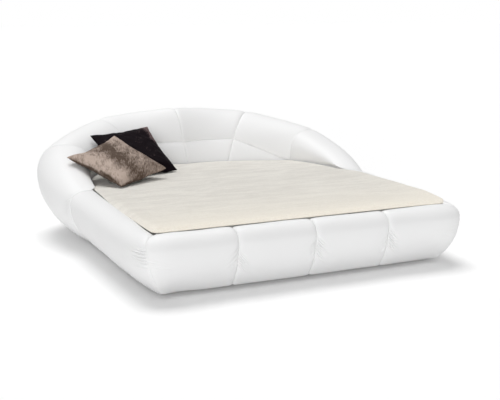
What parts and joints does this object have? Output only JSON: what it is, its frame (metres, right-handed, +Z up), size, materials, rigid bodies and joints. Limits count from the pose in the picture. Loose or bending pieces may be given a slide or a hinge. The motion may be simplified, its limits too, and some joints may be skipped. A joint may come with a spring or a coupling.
{
  "type": "upholstered double bed",
  "caption": "Low double bed with padded, seamed foot and side rails, a shell headboard that wraps round the head end, a plush throw and loose square pillows.",
  "frame": {"origin": "on the floor, at the foot of the middle leg, under the middle of the sleeping place", "axes": "+Z up, +X to the right when seen from the foot, +Y from the foot to the headboard"},
  "size_m": [2.5034, 2.6809, 0.82],
  "materials": {
    "white_leather": "soft satin grain, padded",
    "cream_plush": "short pile plush",
    "mattress_ticking": "knitted ticking",
    "taupe_velvet": "crushed velvet",
    "dark_velvet": "velvet",
    "plywood": "sawn plywood",
    "thin_board": "pressed fibre board",
    "spruce": "planed softwood",
    "birch": "laminated and lacquered",
    "black_steel": "powder coated",
    "bracket_steel": "zinc plated",
    "bolt_steel": "zinc plated",
    "black_plastic": "moulded"
  },
  "bodies": {
    "frame": {"arm_pad_left": "white_leather", "arm_pad_right": "white_leather", "arm_rib_left": "plywood", "arm_rib_right": "plywood", "back_skin_left": "thin_board", "back_skin_right": "thin_board", "bracket_bolts": "bolt_steel", "centre_beam": "spruce", "centre_legs": "black_steel", "centre_rib": "plywood", "corner_brackets": "bracket_steel", "foot_floor_board": "plywood", "foot_ledger": "spruce", "foot_pad_inner_left": "white_leather", "foot_pad_inner_right": "white_leather", "foot_pad_outer_left": "white_leather", "foot_pad_outer_right": "white_leather", "foot_plank": "spruce", "foot_plinth": "plywood", "front_rib_left": "plywood", "front_rib_right": "plywood", "head_ledger": "spruce", "head_lower_pad_left": "white_leather", "head_lower_pad_right": "white_leather", "head_pad_left": "white_leather", "head_pad_right": "white_leather", "head_plinth": "plywood", "head_rib_left": "plywood", "head_rib_right": "plywood", "headboard_top_rail": "spruce", "inner_skin_left": "thin_board", "inner_skin_right": "thin_board", "plinth_glides": "black_plastic", "shell_floor_board_left": "plywood", "shell_floor_board_right": "plywood", "side_floor_board_left": "plywood", "side_floor_board_right": "plywood", "side_ledger_left": "spruce", "side_ledger_right": "spruce", "side_pad_left": "white_leather", "side_pad_right": "white_leather", "side_plank_left": "spruce", "side_plank_right": "spruce", "side_plinth_left": "plywood", "side_plinth_right": "plywood", "slat_frame_left": "spruce", "slat_frame_right": "spruce", "slat_holders": "black_plastic", "slats": "birch", "wing_lower_pad_left": "white_leather", "wing_lower_pad_right": "white_leather", "wing_pad_left": "white_leather", "wing_pad_right": "white_leather", "wing_rib_left": "plywood", "wing_rib_right": "plywood"},
    "mattress": {"mattress": "mattress_ticking"},
    "throw": {"throw": "cream_plush"},
    "pillow_dark": {"pillow_dark": "dark_velvet"},
    "pillow_taupe": {"pillow_taupe": "taupe_velvet"}
  },
  "joints": [
    {"name": "mattress_lift", "type": "slide", "parent": "frame", "child": "mattress", "axis": [0, 0, 1], "range_m": [0, 0.66]},
    {"name": "throw_lift", "type": "slide", "parent": "mattress", "child": "throw", "axis": [0, 0, 1], "range_m": [0, 0.5]},
    {"name": "pillow_dark_lift", "type": "slide", "parent": "throw", "child": "pillow_dark", "axis": [0, 0, 1], "range_m": [0, 0.45]},
    {"name": "pillow_taupe_lift", "type": "slide", "parent": "pillow_dark", "child": "pillow_taupe", "axis": [0, 0, 1], "range_m": [0, 0.42]}
  ]
}
